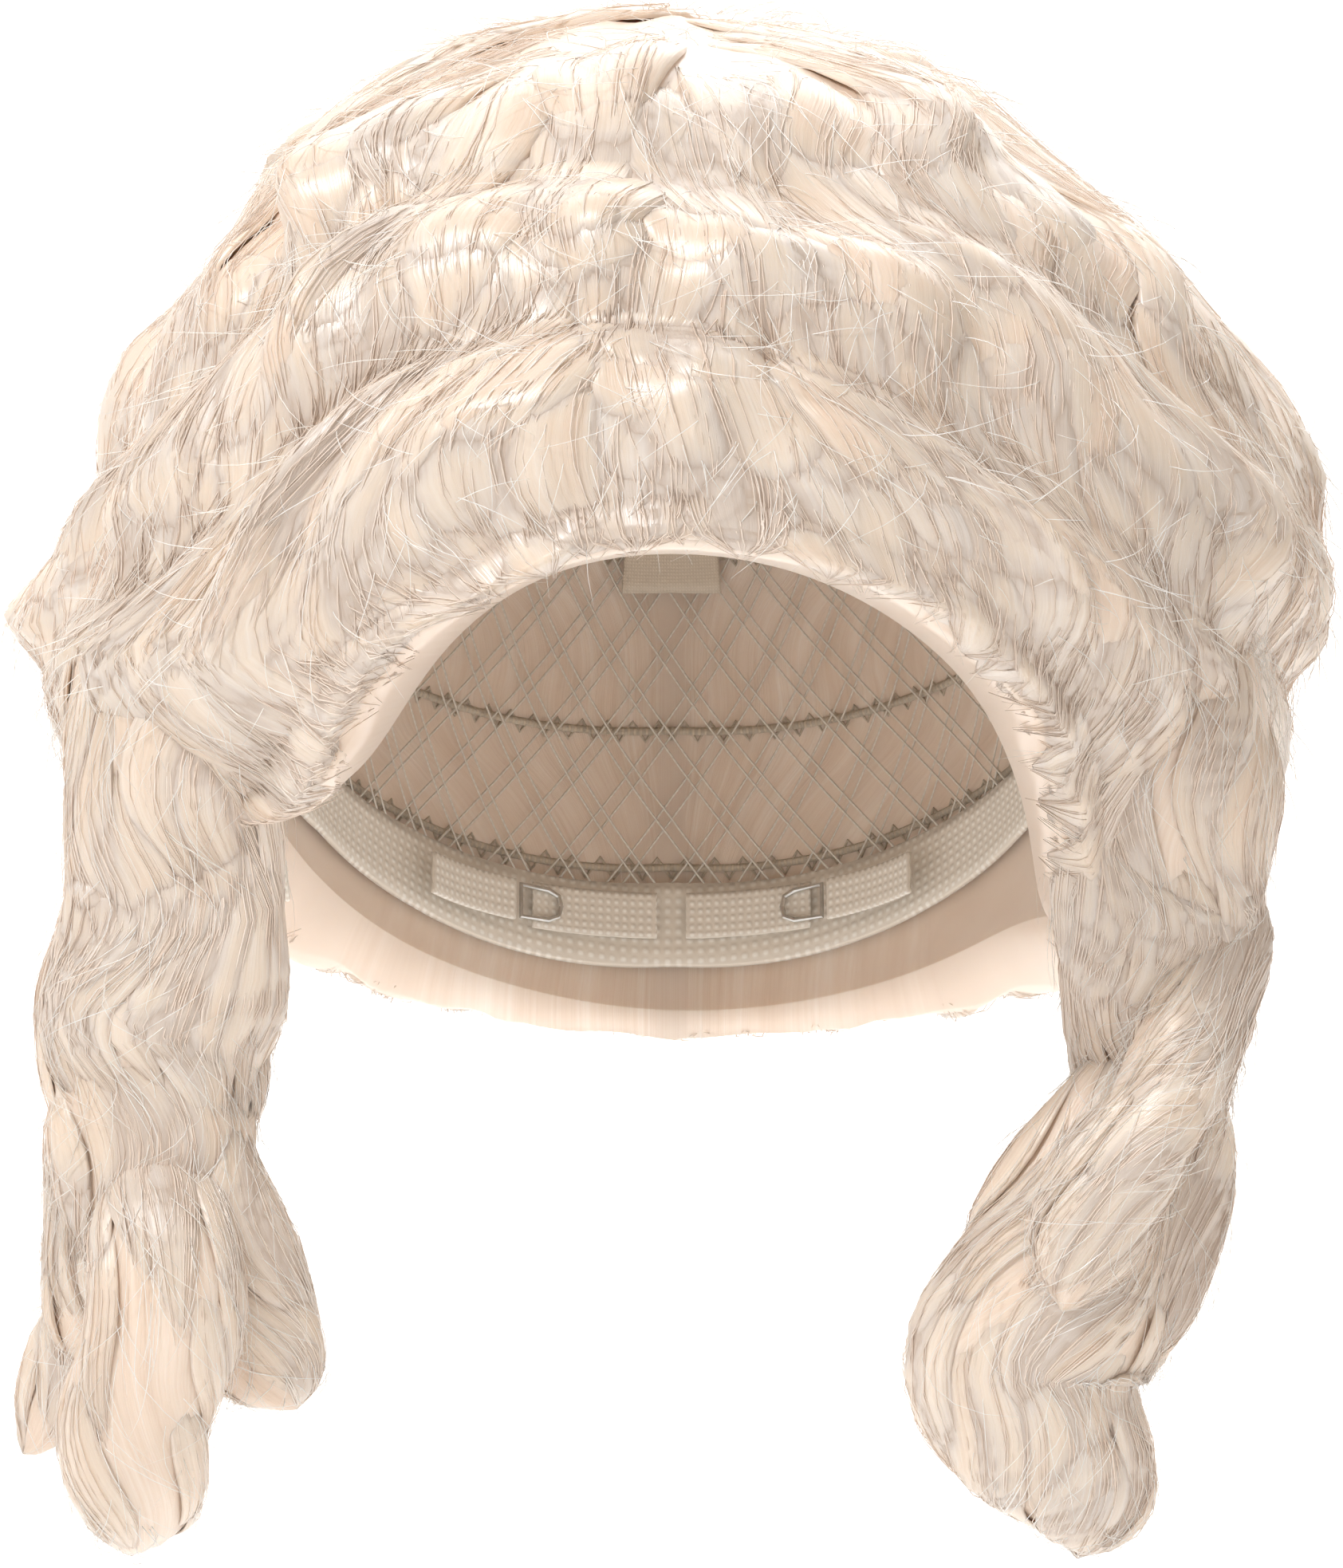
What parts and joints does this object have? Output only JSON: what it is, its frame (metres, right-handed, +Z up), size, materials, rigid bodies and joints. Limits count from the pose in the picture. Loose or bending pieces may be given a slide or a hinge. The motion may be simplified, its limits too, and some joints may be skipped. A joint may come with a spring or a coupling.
{
  "type": "costume wig",
  "caption": "Short costume wig with rows of waves round the face, a side lock hanging in front of each ear, and a stretch net cap with ear tabs and a hooked nape adjuster.",
  "frame": {"origin": "the highest point inside the cap, where the crown of the head touches it", "axes": "+Z up along the head, -Y the way the face looks, +X the wearer's left"},
  "size_m": [0.241, 0.2381, 0.2819],
  "materials": {
    "hair": "glossy synthetic wig fibre, set in waves, pale platinum blonde",
    "cap_net": "knitted stretch net, ivory, matte",
    "cap_elastic": "woven elastic tape and lace, ivory",
    "weft_thread": "machine-sewn weft of thread and fibre roots",
    "label_satin": "white satin ribbon, blank",
    "tape_film": "clear-cast polyurethane film, smooth",
    "steel_wire": "nickel-plated steel wire and strip"
  },
  "bodies": {
    "cap_and_hair": {"crown_hair": "hair", "upper_wave_centre": "hair", "upper_wave_left": "hair", "upper_wave_right": "hair", "middle_wave_centre": "hair", "middle_wave_left": "hair", "middle_wave_right": "hair", "fringe_centre": "hair", "side_wave_left": "hair", "side_wave_right": "hair", "back_wave_left": "hair", "back_wave_right": "hair", "nape_wave_left": "hair", "nape_wave_right": "hair", "crown_net": "cap_net", "forehead_band": "cap_elastic", "ear_binding_left": "cap_elastic", "ear_binding_right": "cap_elastic", "nape_band": "cap_elastic", "cap_ribbon_centre": "cap_elastic", "cap_ribbon_left": "cap_elastic", "cap_ribbon_right": "cap_elastic", "weft_track_1": "weft_thread", "weft_track_2": "weft_thread", "weft_track_3": "weft_thread", "weft_track_4": "weft_thread", "care_label": "label_satin", "tape_tab_front": "tape_film", "hook_pocket_left": "cap_net", "hook_pocket_right": "cap_net", "adjuster_strap_left": "cap_elastic", "adjuster_strap_right": "cap_elastic"},
    "side_lock_left_upper": {"side_lock_left_upper": "hair"},
    "side_lock_left_lower": {"side_lock_left_lower": "hair"},
    "side_lock_right_upper": {"side_lock_right_upper": "hair"},
    "side_lock_right_lower": {"side_lock_right_lower": "hair", "inner_flick_right": "hair", "outer_flick_right": "hair"},
    "ear_tab_left": {"ear_tab_left": "cap_elastic", "ear_stay_left": "steel_wire"},
    "ear_tab_right": {"ear_tab_right": "cap_elastic", "ear_stay_right": "steel_wire"},
    "adjuster_hook_left": {"adjuster_hook_left": "steel_wire"},
    "adjuster_hook_right": {"adjuster_hook_right": "steel_wire"}
  },
  "joints": [
    {"name": "lock_swing_left", "type": "hinge", "parent": "cap_and_hair", "child": "side_lock_left_upper", "pos_m": [0.09, -0.03, -0.124], "axis": [1, 0, 0], "range_deg": [-18, 18]},
    {"name": "lock_sway_left", "type": "hinge", "parent": "side_lock_left_upper", "child": "side_lock_left_lower", "pos_m": [0.0705, -0.03, -0.18], "axis": [0, 1, 0], "range_deg": [-12, 12]},
    {"name": "lock_swing_right", "type": "hinge", "parent": "cap_and_hair", "child": "side_lock_right_upper", "pos_m": [-0.09, -0.03, -0.124], "axis": [1, 0, 0], "range_deg": [-18, 18]},
    {"name": "lock_sway_right", "type": "hinge", "parent": "side_lock_right_upper", "child": "side_lock_right_lower", "pos_m": [-0.0931, -0.03, -0.18], "axis": [0, 1, 0], "range_deg": [-12, 12]},
    {"name": "ear_tab_bend_left", "type": "hinge", "parent": "cap_and_hair", "child": "ear_tab_left", "pos_m": [0.07227, -0.00545, -0.10129], "axis": [-0.0155, 0.9194, -0.393], "range_deg": [0, 25]},
    {"name": "ear_tab_bend_right", "type": "hinge", "parent": "cap_and_hair", "child": "ear_tab_right", "pos_m": [-0.07227, -0.00545, -0.10129], "axis": [-0.0155, -0.9194, 0.393], "range_deg": [0, 25]},
    {"name": "adjuster_slide_left", "type": "hinge", "parent": "cap_and_hair", "child": "adjuster_hook_left", "pos_m": [0, 0.0308, -0.1172], "axis": [0, 0.419, 0.908], "range_deg": [0, 18], "deforming": ["adjuster_strap_left"]},
    {"name": "adjuster_slide_right", "type": "hinge", "parent": "cap_and_hair", "child": "adjuster_hook_right", "pos_m": [0, 0.0308, -0.1172], "axis": [0, -0.419, -0.908], "range_deg": [0, 18], "deforming": ["adjuster_strap_right"]}
  ]
}
